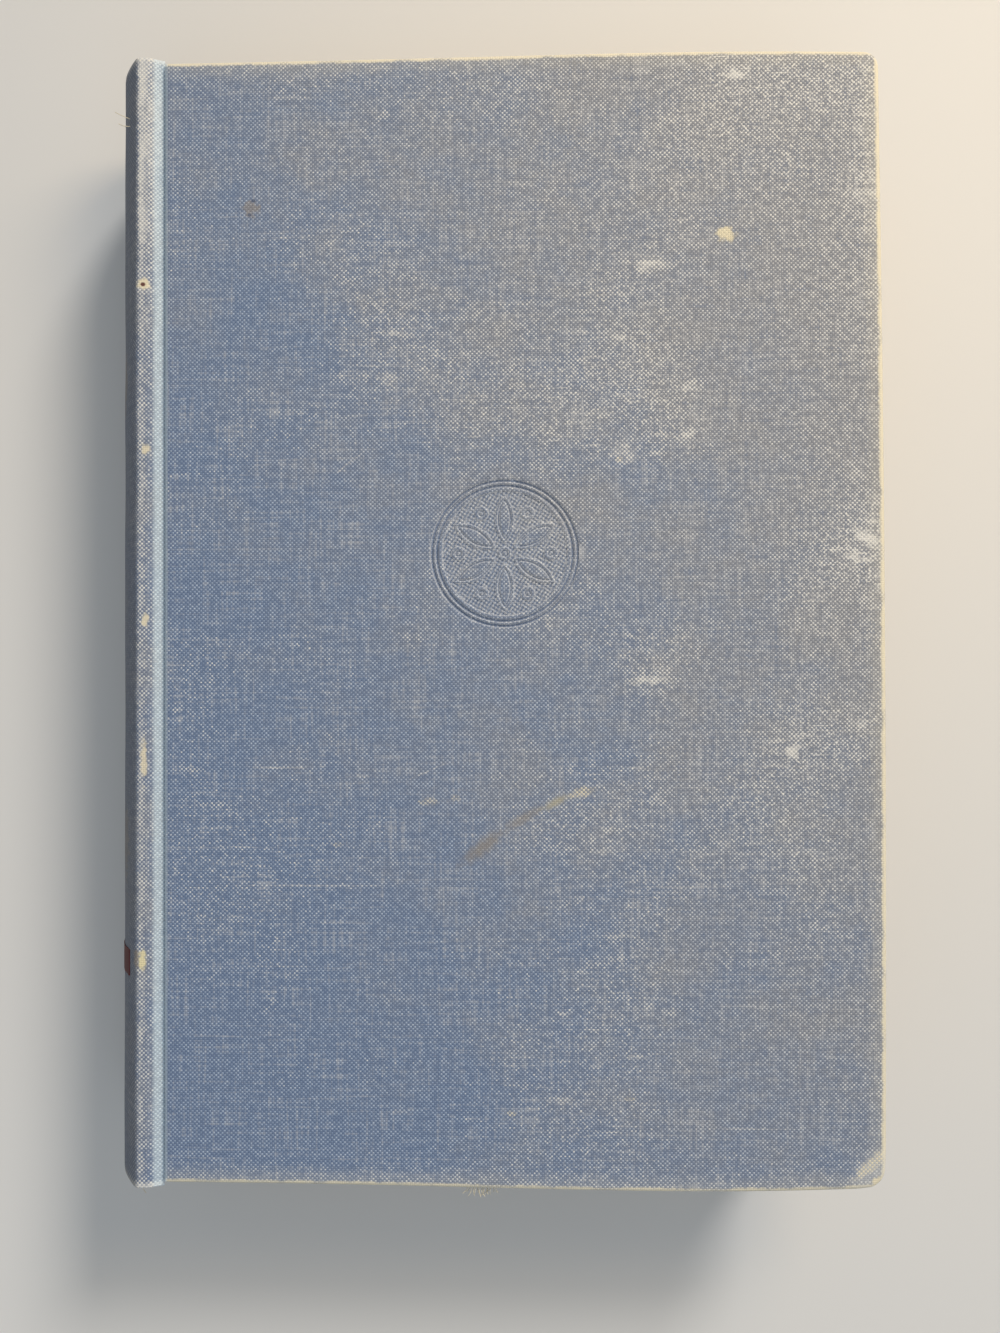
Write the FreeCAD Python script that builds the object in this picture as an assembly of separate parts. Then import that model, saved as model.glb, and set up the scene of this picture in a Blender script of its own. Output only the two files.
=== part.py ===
import FreeCAD, Part
import math
import os

# A cased-in hardback book that lies on its back cover, in millimetres.
# X runs from the spine to the fore edge, Y from the tail to the head, Z from the back cover up.

# Materials, by thickness
CLOTH = 0.4
BOARD = 2.5
ENDPAPER = 0.2
FLYLEAF = 0.15
GAUZE = 0.2
LINING = 0.2
INLAY = 0.5
LABEL = 0.1
GLUE = 0.03

# Covers, measured over their cloth
COVER_WIDTH = 135.5
COVER_HEIGHT = 213.0
CORNER_ROUND = 2.6
BOARD_EDGE_ROUND = 0.5
TURN_IN = 15.0
PASTEDOWN_MARGIN = 4.0

# Block of pages
BLOCK_THICK = 25.7
SQUARE = 3.5
BACK_ROUND_DEPTH = 7.2

# Joint groove between a board and the spine
HINGE_REACH = 1.0
HINGE_LIFT = 0.3
SLIT = 0.1
SLOPE_DEG = 65.0
SHOULDER_CLEARANCE = 0.15
REST_CLEARANCE = 0.05

# Crest of the cloth over the shoulder of the pages
CREST_DROP = 0.1
CREST_INNER_ROUND = 0.8
CREST_OUTER_ROUND = 1.2

# Hollow back
HOLLOW = 0.55
SPINE_OVERHANG = 1.0
SPINE_TURN_IN = 12.0
SPINE_END_ROUND = 0.35
LINING_SETBACK_DEG = 2.5
GAUZE_SETBACK = 12.0
LINING_SETBACK = 3.0
INLAY_SETBACK_DEG = 2.0

# Head and tail bands
BAND_HEIGHT = 1.6
BAND_DEPTH = 1.2
BAND_ROUND = 0.45

# Dark red patch across the spine
LABEL_HEIGHT = 4.9
LABEL_CENTRE_Y = -65.5
LABEL_SETBACK_DEG = 6.0

# Medallion stamped blind into the front cover
MEDALLION_FROM_JOINT = 64.7
MEDALLION_FROM_HEAD = 94.3
MEDALLION_RADIUS = 13.9
RING_GROOVE = 0.35
RING_GAP = 0.6
STAMP_DEPTH = 0.15
GROUND_MARGIN = 0.7
HUB_RADIUS = 1.3
PETAL_START = 1.9
PETALS = 6
PETAL_HALF_WIDTH = 1.9

# Sizes that follow
COVER_THICK = CLOTH + BOARD + CLOTH + ENDPAPER
THICK = BLOCK_THICK + 2 * FLYLEAF + 2 * COVER_THICK
MIDDLE = THICK / 2
SLOPE = math.radians(SLOPE_DEG)
BLOCK_HEIGHT = COVER_HEIGHT - 2 * SQUARE
SPINE_HEIGHT = COVER_HEIGHT + 2 * SPINE_OVERHANG
SPINE_LAYERS = GLUE + GAUZE + GLUE + LINING + HOLLOW + INLAY + CLOTH

# The shoulder: its tip lies under the crest, its root at the foot of the groove
SLOPE_FOOT_Z = THICK - COVER_THICK + REST_CLEARANCE
CREST_Z = THICK - CREST_DROP
SHOULDER_OUT = HINGE_REACH + SLIT + (CLOTH + SHOULDER_CLEARANCE) / math.sin(SLOPE)
TIP_Z = CREST_Z - CLOTH - SHOULDER_CLEARANCE
TIP_OUT = SHOULDER_OUT + (TIP_Z - SLOPE_FOOT_Z) / math.tan(SLOPE)
ROOT_Z = MIDDLE + BLOCK_THICK / 2
ROOT_OUT = SHOULDER_OUT + (ROOT_Z - SLOPE_FOOT_Z) / math.tan(SLOPE)

# The round of the back, shared by every layer of the spine
HALF_CHORD = TIP_Z - MIDDLE
BACK_RADIUS = (HALF_CHORD ** 2 + BACK_ROUND_DEPTH ** 2) / (2 * BACK_ROUND_DEPTH)
SPINE_RADIUS = BACK_RADIUS + SPINE_LAYERS
SPINE_OUT = TIP_OUT + BACK_ROUND_DEPTH + SPINE_LAYERS

# Places along X: the box of the whole book is centred on the origin
FORE_X = (SPINE_OUT + COVER_WIDTH) / 2
JOINT_X = FORE_X - COVER_WIDTH
HINGE_X = JOINT_X - HINGE_REACH
BACK_CENTRE_X = JOINT_X - SPINE_OUT + SPINE_RADIUS

# Centres of the two small rounds of the crest, and where the outer one meets the back
INNER_CREST_Z = CREST_Z - CREST_INNER_ROUND
INNER_TANGENT_Z = INNER_CREST_Z + CREST_INNER_ROUND * math.cos(SLOPE)
INNER_CREST_X = (JOINT_X - HINGE_REACH - SLIT - (INNER_TANGENT_Z - SLOPE_FOOT_Z) / math.tan(SLOPE)
                 - CREST_INNER_ROUND * math.sin(SLOPE))
OUTER_CREST_Z = CREST_Z - CREST_OUTER_ROUND
CREST_ANGLE = math.asin((OUTER_CREST_Z - MIDDLE) / (SPINE_RADIUS - CREST_OUTER_ROUND))
OUTER_CREST_X = BACK_CENTRE_X - (SPINE_RADIUS - CREST_OUTER_ROUND) * math.cos(CREST_ANGLE)


def point(x, z, y=0.0):
    return FreeCAD.Vector(x, y, z)


def flipped(shape):
    """The same piece for the back of the book."""
    return shape.mirror(point(0, MIDDLE), FreeCAD.Vector(0, 0, 1))


def box(x0, x1, y_half, z0, z1):
    return Part.makeBox(x1 - x0, 2 * y_half, z1 - z0, point(x0, z0, -y_half))


def arc(centre_x, centre_z, radius, start, end):
    """An arc in the plane of the section, with angles in radians from +X towards +Z."""
    ends = []
    for angle in (start, (start + end) / 2, end):
        ends.append(point(centre_x + radius * math.cos(angle), centre_z + radius * math.sin(angle)))
    return Part.Arc(*ends)


def line(start, end):
    return Part.LineSegment(start, end)


def prism(curves, height):
    """A solid with this outline in the XZ plane, centred on Y = 0."""
    wire = Part.Wire([curve.toShape() for curve in curves])
    face = Part.Face(wire)
    face.translate(FreeCAD.Vector(0, -height / 2, 0))
    return face.extrude(FreeCAD.Vector(0, height, 0))


def back_layer(inner, outer, half_angle, height):
    """A curved sheet that follows the round of the back between two radii."""
    low = math.pi + half_angle
    high = math.pi - half_angle
    outside = arc(BACK_CENTRE_X, MIDDLE, outer, high, low)
    inside = arc(BACK_CENTRE_X, MIDDLE, inner, low, high)
    curves = [
        outside,
        line(outside.EndPoint, inside.StartPoint),
        inside,
        line(inside.EndPoint, outside.StartPoint),
    ]
    return prism(curves, height)


def rounded_plate(inset, z0, z1):
    """A cover's plate inside its covered outline, with its two fore-edge corners rounded."""
    plate = box(JOINT_X + inset, FORE_X - inset, COVER_HEIGHT / 2 - inset, z0, z1)
    corners = []
    for edge in plate.Edges:
        upright = abs(edge.Vertexes[0].Z - edge.Vertexes[-1].Z) > 0.9 * (z1 - z0)
        if upright and edge.CenterOfMass.x > 0:
            corners.append(edge)
    return plate.makeFillet(CORNER_ROUND + CLOTH - inset, corners)


def rim(plate, z):
    """The edges that run round a plate at this height."""
    return [edge for edge in plate.Edges
            if abs(edge.Vertexes[0].Z - z) < 0.001 and abs(edge.Vertexes[-1].Z - z) < 0.001]


def make_board():
    top = THICK - CLOTH
    bottom = top - BOARD
    plate = rounded_plate(CLOTH, bottom, top)
    return plate.makeFillet(BOARD_EDGE_ROUND, rim(plate, top))


def make_cover_cloth():
    """Cloth over a board, turned in at the head, tail and fore edge and led into the joint."""
    bottom = THICK - COVER_THICK + ENDPAPER
    skin = rounded_plate(0.0, bottom, THICK)
    skin = skin.makeFillet(BOARD_EDGE_ROUND + CLOTH, rim(skin, THICK))
    window = box(JOINT_X + CLOTH, FORE_X - TURN_IN, COVER_HEIGHT / 2 - TURN_IN, bottom, bottom + CLOTH)
    joint_strip = box(HINGE_X, JOINT_X + CLOTH, COVER_HEIGHT / 2, bottom, bottom + CLOTH)
    return skin.cut(make_board()).fuse(joint_strip).cut(window).removeSplitter()


def make_pastedown():
    """Endpaper that steps from the turn-ins down onto the bare board."""
    under = THICK - COVER_THICK
    reach = COVER_HEIGHT / 2 - TURN_IN
    sheet = box(HINGE_X, FORE_X - PASTEDOWN_MARGIN, COVER_HEIGHT / 2 - PASTEDOWN_MARGIN,
                under, under + ENDPAPER)
    step = box(JOINT_X + CLOTH, FORE_X - TURN_IN, reach, under + ENDPAPER, under + ENDPAPER + CLOTH)
    pocket = box(JOINT_X + CLOTH + ENDPAPER, FORE_X - TURN_IN - ENDPAPER, reach - ENDPAPER,
                 under, under + CLOTH)
    return sheet.fuse(step).cut(pocket).removeSplitter()


def make_flyleaf():
    return box(JOINT_X - ROOT_OUT, FORE_X - SQUARE, BLOCK_HEIGHT / 2, ROOT_Z, ROOT_Z + FLYLEAF)


def make_text_block():
    """The sewn pages, rounded and backed: a round back, two shoulders and a hollow fore edge."""
    fore_x = FORE_X - SQUARE
    half = BLOCK_THICK / 2
    hollow_angle = math.asin(half / BACK_RADIUS)
    tip_angle = math.asin(HALF_CHORD / BACK_RADIUS)
    back = arc(BACK_CENTRE_X, MIDDLE, BACK_RADIUS, math.pi - tip_angle, math.pi + tip_angle)
    depth = BACK_RADIUS * (1 - math.cos(hollow_angle))
    low_root = point(JOINT_X - ROOT_OUT, MIDDLE - half)
    high_root = point(JOINT_X - ROOT_OUT, MIDDLE + half)
    low_fore = point(fore_x, MIDDLE - half)
    high_fore = point(fore_x, MIDDLE + half)
    fore_edge = Part.Arc(low_fore, point(fore_x - depth, MIDDLE), high_fore)
    curves = [
        back,
        line(back.EndPoint, low_root),
        line(low_root, low_fore),
        fore_edge,
        line(high_fore, high_root),
        line(high_root, back.StartPoint),
    ]
    return prism(curves, BLOCK_HEIGHT)


def crest_side(inset):
    """Upper half of the cloth's section, from the foot of the groove to the round of the back."""
    foot = point(JOINT_X - HINGE_REACH - SLIT - inset / math.sin(SLOPE), SLOPE_FOOT_Z)
    inner = arc(INNER_CREST_X, INNER_CREST_Z, CREST_INNER_ROUND - inset, math.pi / 2 - SLOPE, math.pi / 2)
    outer = arc(OUTER_CREST_X, OUTER_CREST_Z, CREST_OUTER_ROUND - inset, math.pi / 2, math.pi - CREST_ANGLE)
    return [
        line(foot, inner.StartPoint),
        inner,
        line(inner.EndPoint, outer.StartPoint),
        outer,
    ]


def mirrored_side(curves):
    """The same run of curves below the middle of the book, in the other direction."""
    run = []
    for curve in reversed(curves):
        copy = curve.toShape().mirror(point(0, MIDDLE), FreeCAD.Vector(0, 0, 1))
        run.append(copy)
    return run


def spine_section():
    """Closed outline of the spine's cloth, from one groove round the back to the other."""
    edges = []
    for inset in (0.0, CLOTH):
        upper = crest_side(inset)
        edges += [curve.toShape() for curve in upper]
        edges.append(arc(BACK_CENTRE_X, MIDDLE, SPINE_RADIUS - inset,
                         math.pi - CREST_ANGLE, math.pi + CREST_ANGLE).toShape())
        edges += mirrored_side(upper)
    outer_foot = crest_side(0.0)[0].StartPoint
    inner_foot = crest_side(CLOTH)[0].StartPoint
    foot = line(outer_foot, inner_foot).toShape()
    edges.append(foot)
    edges.append(foot.mirror(point(0, MIDDLE), FreeCAD.Vector(0, 0, 1)))
    return Part.Face(Part.Wire(Part.sortEdges(edges)[0]))


def inlay_angle():
    return CREST_ANGLE - math.radians(INLAY_SETBACK_DEG)


def label_room():
    """The shallow seat of the red patch in the cloth of the spine."""
    half_angle = CREST_ANGLE - math.radians(LABEL_SETBACK_DEG)
    room = back_layer(SPINE_RADIUS - LABEL, SPINE_RADIUS, half_angle, LABEL_HEIGHT)
    room.translate(FreeCAD.Vector(0, LABEL_CENTRE_Y, 0))
    return room


def make_spine_cloth():
    """Cloth from groove to groove, turned in over the inlay card at the head and tail."""
    section = spine_section()
    section.translate(FreeCAD.Vector(0, -SPINE_HEIGHT / 2, 0))
    cloth = section.extrude(FreeCAD.Vector(0, SPINE_HEIGHT, 0))
    inlay_inside = SPINE_RADIUS - CLOTH - INLAY
    folded = back_layer(inlay_inside - CLOTH, SPINE_RADIUS - CLOTH, inlay_angle(), SPINE_HEIGHT)
    between = back_layer(inlay_inside - 2 * CLOTH, inlay_inside, CREST_ANGLE,
                         SPINE_HEIGHT - 2 * SPINE_TURN_IN)
    cloth = cloth.fuse(folded.cut(between).cut(make_inlay())).removeSplitter()
    ends = []
    for edge in cloth.Edges:
        at_end = abs(abs(edge.BoundBox.YMin) - SPINE_HEIGHT / 2) < 0.001 and edge.BoundBox.YLength < 0.001
        on_round = edge.BoundBox.XMin < JOINT_X - SPINE_OUT + 0.01
        if at_end and on_round:
            ends.append(edge)
    return cloth.makeFillet(SPINE_END_ROUND, ends).cut(label_room())


def make_inlay():
    outside = SPINE_RADIUS - CLOTH
    return back_layer(outside - INLAY, outside, inlay_angle(), SPINE_HEIGHT - 2 * CLOTH)


def make_gauze():
    inside = BACK_RADIUS + GLUE
    half_angle = CREST_ANGLE - math.radians(LINING_SETBACK_DEG)
    return back_layer(inside, inside + GAUZE, half_angle, BLOCK_HEIGHT - 2 * GAUZE_SETBACK)


def make_lining():
    inside = BACK_RADIUS + GLUE + GAUZE + GLUE
    half_angle = CREST_ANGLE - math.radians(LINING_SETBACK_DEG)
    return back_layer(inside, inside + LINING, half_angle, BLOCK_HEIGHT - 2 * LINING_SETBACK)


def make_band():
    """A rounded bead that stands on the head of the pages along their back."""
    half_angle = CREST_ANGLE - math.radians(LINING_SETBACK_DEG)
    bead = back_layer(BACK_RADIUS - BAND_DEPTH, BACK_RADIUS, half_angle, BAND_HEIGHT)
    bead.translate(FreeCAD.Vector(0, (BLOCK_HEIGHT + BAND_HEIGHT) / 2, 0))
    top = BLOCK_HEIGHT / 2 + BAND_HEIGHT
    rims = []
    for edge in bead.Edges:
        if abs(edge.BoundBox.YMin - top) < 0.001 and edge.BoundBox.ZLength > BAND_DEPTH * 2:
            rims.append(edge)
    return bead.makeFillet(BAND_ROUND, rims)


def petal(reach):
    """One petal of the rosette, between two arcs from near its centre to its tip."""
    middle = (PETAL_START + reach) / 2
    start = FreeCAD.Vector(PETAL_START, 0, 0)
    tip = FreeCAD.Vector(reach, 0, 0)
    left = Part.Arc(start, FreeCAD.Vector(middle, PETAL_HALF_WIDTH, 0), tip)
    right = Part.Arc(tip, FreeCAD.Vector(middle, -PETAL_HALF_WIDTH, 0), start)
    face = Part.Face(Part.Wire([left.toShape(), right.toShape()]))
    return face.extrude(FreeCAD.Vector(0, 0, 2 * STAMP_DEPTH))


def make_medallion():
    """What the stamp presses into the cloth: two ring lines, and the ground round the petals and the hub."""
    axis = FreeCAD.Vector(0, 0, 1)
    pressed = None
    radius = MEDALLION_RADIUS
    for ring in range(2):
        outside = Part.makeCylinder(radius, 2 * STAMP_DEPTH)
        groove = outside.cut(Part.makeCylinder(radius - RING_GROOVE, 2 * STAMP_DEPTH))
        pressed = groove if pressed is None else pressed.fuse(groove)
        radius -= RING_GROOVE + RING_GAP
    ground = Part.makeCylinder(radius, 2 * STAMP_DEPTH)
    ground = ground.cut(Part.makeCylinder(HUB_RADIUS, 2 * STAMP_DEPTH))
    for number in range(PETALS):
        one = petal(radius - GROUND_MARGIN)
        one.rotate(FreeCAD.Vector(0, 0, 0), axis, 90 + number * 360 / PETALS)
        ground = ground.cut(one)
    pressed = pressed.fuse(ground)
    pressed.translate(point(JOINT_X + MEDALLION_FROM_JOINT, THICK - STAMP_DEPTH,
                            COVER_HEIGHT / 2 - MEDALLION_FROM_HEAD))
    return pressed


def make_front_cloth():
    return make_cover_cloth().cut(make_medallion())


def main():
    os.makedirs("parts", exist_ok=True)
    tail = FreeCAD.Vector(0, 1, 0)
    pieces = {
        "text_block": make_text_block(),
        "front_board": make_board(),
        "front_cloth": make_front_cloth(),
        "front_pastedown": make_pastedown(),
        "front_flyleaf": make_flyleaf(),
        "back_board": flipped(make_board()),
        "back_cloth": flipped(make_cover_cloth()),
        "back_pastedown": flipped(make_pastedown()),
        "back_flyleaf": flipped(make_flyleaf()),
        "spine_gauze": make_gauze(),
        "spine_lining": make_lining(),
        "spine_inlay": make_inlay(),
        "spine_cloth": make_spine_cloth(),
        "spine_label": label_room(),
        "head_band": make_band(),
        "tail_band": make_band().mirror(point(0, 0), tail),
    }
    for name, shape in pieces.items():
        solid = shape.Solids[0]
        solid.exportStep(f"parts/{name}.step")
        print(name, "solids", len(shape.Solids), "valid", solid.isValid(), "mm3", round(solid.Volume, 1))
    print("hinge lines at x", round(HINGE_X, 3), "and z", round(THICK + HINGE_LIFT, 3), round(-HINGE_LIFT, 3))


main()
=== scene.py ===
import math
import bmesh
import bpy
import numpy as np
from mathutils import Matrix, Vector, noise


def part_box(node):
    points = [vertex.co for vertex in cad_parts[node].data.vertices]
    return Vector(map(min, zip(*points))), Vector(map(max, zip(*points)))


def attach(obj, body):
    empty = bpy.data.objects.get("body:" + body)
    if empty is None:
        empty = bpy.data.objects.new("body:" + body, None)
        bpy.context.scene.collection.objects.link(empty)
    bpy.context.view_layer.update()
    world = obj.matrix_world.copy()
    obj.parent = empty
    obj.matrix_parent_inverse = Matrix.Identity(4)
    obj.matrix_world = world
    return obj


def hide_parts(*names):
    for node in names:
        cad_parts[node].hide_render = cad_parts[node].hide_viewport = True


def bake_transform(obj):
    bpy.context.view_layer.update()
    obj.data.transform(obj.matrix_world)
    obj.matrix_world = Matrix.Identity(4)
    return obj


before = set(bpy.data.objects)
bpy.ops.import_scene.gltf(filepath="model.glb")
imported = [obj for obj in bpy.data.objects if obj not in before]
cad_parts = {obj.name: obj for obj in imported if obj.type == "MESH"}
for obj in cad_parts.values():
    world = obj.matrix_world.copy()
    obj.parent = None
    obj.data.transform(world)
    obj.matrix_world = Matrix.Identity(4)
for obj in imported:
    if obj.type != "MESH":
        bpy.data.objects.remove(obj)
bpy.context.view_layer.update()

# The pages: some 280 leaves of cream book paper, folded, sewn and glued into one block, rounded
# and backed so that the back is round, the fore edge hollow and two shoulders stand out beside
# the covers. The cut edges are a little uneven from leaf to leaf, and toned brown with age.
block_low, block_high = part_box("text_block")
pages_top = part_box("front_flyleaf")[0].z
pages_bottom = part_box("back_flyleaf")[1].z
root_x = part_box("front_flyleaf")[0].x
middle = (pages_top + pages_bottom) / 2
half_pages = (pages_top - pages_bottom) / 2
rounding = 0.0072
half_chord = block_high.z - middle
back_radius = (half_chord ** 2 + rounding ** 2) / (2 * rounding)
back_centre = block_low.x + back_radius
shoulder_slope = math.tan(math.radians(65))
leaf_groups = 128
page_columns = 14
page_rows = 26
shoulder_layers = 4
leaf_depth = 0.00011
edge_wave = 0.00012


def deselect():
    """Object mode, with nothing selected."""
    if bpy.context.object and bpy.context.object.mode != "OBJECT":
        bpy.ops.object.mode_set(mode="OBJECT")
    bpy.ops.object.select_all(action="DESELECT")


def flat_grid(name, columns, rows, low, high, z):
    """A flat grid in edit mode between two corners, its object at the origin."""
    deselect()
    bpy.ops.mesh.primitive_grid_add(x_subdivisions=columns, y_subdivisions=rows, size=1)
    piece = bpy.context.object
    piece.name = name
    bpy.ops.object.mode_set(mode="EDIT")
    bpy.ops.mesh.select_all(action="SELECT")
    bpy.ops.transform.resize(value=(high[0] - low[0], high[1] - low[1], 1), center_override=(0, 0, 0))
    bpy.ops.transform.translate(value=((high[0] + low[0]) / 2, (high[1] + low[1]) / 2, z))
    return piece


def choose(piece, wanted, kind="FACE"):
    """Selects the faces, edges or vertices that a test wants, in edit mode."""
    bpy.ops.mesh.select_mode(type=kind)
    bpy.ops.mesh.select_all(action="DESELECT")
    mesh = bmesh.from_edit_mesh(piece.data)
    for part in {"FACE": mesh.faces, "EDGE": mesh.edges, "VERT": mesh.verts}[kind]:
        if wanted(part):
            part.select_set(True)
    mesh.select_flush_mode()
    bmesh.update_edit_mesh(piece.data)


def extrude(x=0.0, y=0.0, z=0.0):
    bpy.ops.mesh.extrude_region_move(TRANSFORM_OT_translate={"value": (x, y, z)})


def done(angle=35):
    """Back to object mode, with the faces' normals outwards and only sharp edges left sharp."""
    bpy.ops.mesh.select_all(action="SELECT")
    bpy.ops.mesh.normals_make_consistent(inside=False)
    bpy.ops.object.mode_set(mode="OBJECT")
    bpy.ops.object.shade_smooth_by_angle(angle=math.radians(angle))


def apply_modifiers(piece):
    for modifier in list(piece.modifiers):
        bpy.ops.object.modifier_apply(modifier=modifier.name)


def fore_edge_at(height):
    """Where the hollow fore edge lies at this height from the middle of the book."""
    reach = math.sqrt(back_radius ** 2 - min(abs(height), half_pages) ** 2)
    return block_high.x - (reach - math.sqrt(back_radius ** 2 - half_pages ** 2))


def back_at(height):
    return back_centre - math.sqrt(back_radius ** 2 - height ** 2)


def model_pages():
    """Leaves piled up from the last page to the first, then each shaped to the rounded block."""
    thick = pages_top - pages_bottom
    pages = flat_grid("pages", page_columns, page_rows, (0, block_low.y), (1, block_high.y),
                      pages_bottom)
    for layer in range(2 * leaf_groups):
        extrude(z=thick / (2 * leaf_groups))
    choose(pages, lambda face: face.normal.z > 0.9 and face.calc_center_median().x < 0.07)
    for layer in range(shoulder_layers):
        extrude(z=(block_high.z - pages_top) / shoulder_layers)
    choose(pages, lambda face: face.normal.z < -0.9 and face.calc_center_median().x < 0.07)
    for layer in range(shoulder_layers):
        extrude(z=(block_low.z - pages_bottom) / shoulder_layers)
    shape_pages(pages, thick)
    done(50)
    return pages


def shape_pages(pages, thick):
    """Moves every leaf out to its own cut edge, between the round of the back and the fore edge."""
    chance = np.random.RandomState(4)
    uneven = chance.rand(2 * leaf_groups + 1, 3)
    mesh = bmesh.from_edit_mesh(pages.data)
    for vert in mesh.verts:
        across, y, z = vert.co
        height = z - middle
        if abs(height) > half_pages + 1e-6:
            right = root_x - (abs(height) - half_pages) / shoulder_slope
            across = min(across * page_columns, 1.0)
        elif across < 0.08:
            right = None
        else:
            right = fore_edge_at(height)
        left = back_at(max(-half_chord, min(half_chord, height)))
        if right is None:
            vert.co.x = root_x if across > 0.04 else left
        elif abs(height) > half_pages + 1e-6:
            vert.co.x = left + (right - left) * across
        else:
            vert.co.x = root_x + (right - root_x) * (across * page_columns - 1) / (page_columns - 1)
        layer = int(round((z - pages_bottom) / thick * 2 * leaf_groups))
        if not 0 < layer < 2 * leaf_groups:
            continue
        sunk = leaf_depth * (layer % 2) * (0.4 + 0.6 * uneven[layer, 0])
        drift = edge_wave * noise.noise(Vector((y * 30, height * 400, 3.0)))
        if across > 0.999:
            vert.co.x -= sunk + drift + leaf_depth * 0.8 * uneven[layer, 1]
        if abs(y) > block_high.y - 1e-6:
            drift = edge_wave * noise.noise(Vector((vert.co.x * 30, height * 400, y * 50)))
            vert.co.y -= math.copysign(sunk + abs(drift) + leaf_depth * 0.8 * uneven[layer, 2], y)
    bmesh.update_edit_mesh(pages.data)


def new_material(name, bends=False):
    """An empty material, its shader and its coordinates in millimetres: at rest if the piece bends."""
    material = bpy.data.materials.new(name)
    material.use_nodes = True
    tree = material.node_tree
    tree.nodes.clear()
    output = tree.nodes.new("ShaderNodeOutputMaterial")
    shader = tree.nodes.new("ShaderNodeBsdfPrincipled")
    tree.links.new(shader.outputs[0], output.inputs[0])
    if bends:
        kept = tree.nodes.new("ShaderNodeAttribute")
        kept.attribute_name = "rest_place"
        where = kept.outputs["Vector"]
    else:
        where = tree.nodes.new("ShaderNodeTexCoord").outputs["Object"]
    return material, tree, shader, vector(tree, "SCALE", where, scale=1000.0)


def keep_rest_place(piece):
    """Notes where each point lies at rest, so that the pattern stays with it when the piece bends."""
    kept = piece.data.attributes.new("rest_place", "FLOAT_VECTOR", "POINT")
    spots = np.empty(3 * len(piece.data.vertices), dtype=np.float32)
    piece.data.vertices.foreach_get("co", spots)
    kept.data.foreach_set("vector", spots)


def vector(tree, operation, first, second=None, scale=None):
    made = tree.nodes.new("ShaderNodeVectorMath")
    made.operation = operation
    tree.links.new(first, made.inputs[0])
    if second is not None:
        made.inputs[1].default_value = second
    if scale is not None:
        made.inputs["Scale"].default_value = scale
    return made.outputs["Value" if operation in ("LENGTH", "DISTANCE") else "Vector"]


def calc(tree, operation, *values):
    """One Math node; a value may be a number or another node's output."""
    made = tree.nodes.new("ShaderNodeMath")
    made.operation = operation
    for place, value in enumerate(values):
        if isinstance(value, (int, float)):
            made.inputs[place].default_value = value
        else:
            tree.links.new(value, made.inputs[place])
    return made.outputs[0]


def spread(tree, value, low, high, start=0.0, end=1.0):
    """A smooth step: start where value is low, end where it is high."""
    made = tree.nodes.new("ShaderNodeMapRange")
    made.interpolation_type = "SMOOTHSTEP"
    tree.links.new(value, made.inputs["Value"])
    for name, number in (("From Min", low), ("From Max", high), ("To Min", start), ("To Max", end)):
        made.inputs[name].default_value = number
    return made.outputs["Result"]


def clouds(tree, place, scale, detail=3.0, stretch=(1.0, 1.0, 1.0), roughness=0.5):
    """Noise with this many clouds to a millimetre, stretched along the axes."""
    made = tree.nodes.new("ShaderNodeTexNoise")
    tree.links.new(vector(tree, "MULTIPLY", place, stretch), made.inputs["Vector"])
    made.inputs["Scale"].default_value = scale
    made.inputs["Detail"].default_value = detail
    made.inputs["Roughness"].default_value = roughness
    return made.outputs["Fac"]


def shade(tree, amount, first, second):
    """A colour between two; each may be a tuple or another node's output."""
    made = tree.nodes.new("ShaderNodeMix")
    made.data_type = "RGBA"
    tree.links.new(amount, made.inputs["Factor"])
    for name, colour in (("A", first), ("B", second)):
        place = [slot for slot in made.inputs if slot.name == name and slot.type == "RGBA"][0]
        if isinstance(colour, tuple):
            place.default_value = (*colour, 1.0)
        else:
            tree.links.new(colour, place)
    return [slot for slot in made.outputs if slot.type == "RGBA"][0]


def bump(tree, shader, height, strength, distance):
    made = tree.nodes.new("ShaderNodeBump")
    made.inputs["Strength"].default_value = strength
    made.inputs["Distance"].default_value = distance
    tree.links.new(height, made.inputs["Height"])
    tree.links.new(made.outputs["Normal"], shader.inputs["Normal"])


page_cream = (0.68, 0.57, 0.40)
page_tan = (0.50, 0.37, 0.21)
page_dust = (0.30, 0.23, 0.15)


def page_edges():
    """Cut paper: lines between the leaves, gatherings of leaves, dust and a few fox marks."""
    material, tree, shader, place = new_material("cut edges of the pages")
    leaf_lines = clouds(tree, place, 1.0, 2.0, (0.05, 0.03, 9.0))
    gatherings = clouds(tree, place, 1.0, 1.0, (0.004, 0.004, 0.9))
    soil = clouds(tree, place, 0.05, 4.0, (1.0, 1.0, 2.0))
    spots = clouds(tree, place, 0.6, 2.0)
    colour = shade(tree, spread(tree, leaf_lines, 0.3, 0.7), page_tan, page_cream)
    colour = shade(tree, spread(tree, gatherings, 0.35, 0.7, 0.0, 0.35), colour, page_tan)
    colour = shade(tree, spread(tree, soil, 0.5, 0.8, 0.0, 0.45), colour, page_dust)
    colour = shade(tree, spread(tree, spots, 0.72, 0.8, 0.0, 0.5), colour, page_dust)
    tree.links.new(colour, shader.inputs["Base Color"])
    shader.inputs["Roughness"].default_value = 0.9
    shader.inputs["Specular IOR Level"].default_value = 0.2
    bump(tree, shader, leaf_lines, 0.5, 0.0001)
    return material


pages = model_pages()
pages.data.materials.append(page_edges())
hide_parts("text_block")
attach(pages, "book_block")

# The gauze: a strip of open cotton mull, stiffened with size and pasted over the sewn round back
# while the glue is warm. It holds the gatherings together under the paper lining.
gauze_cotton = (0.62, 0.57, 0.45)
gauze_glue = (0.40, 0.30, 0.17)
gauze_mesh = 0.9


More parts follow.
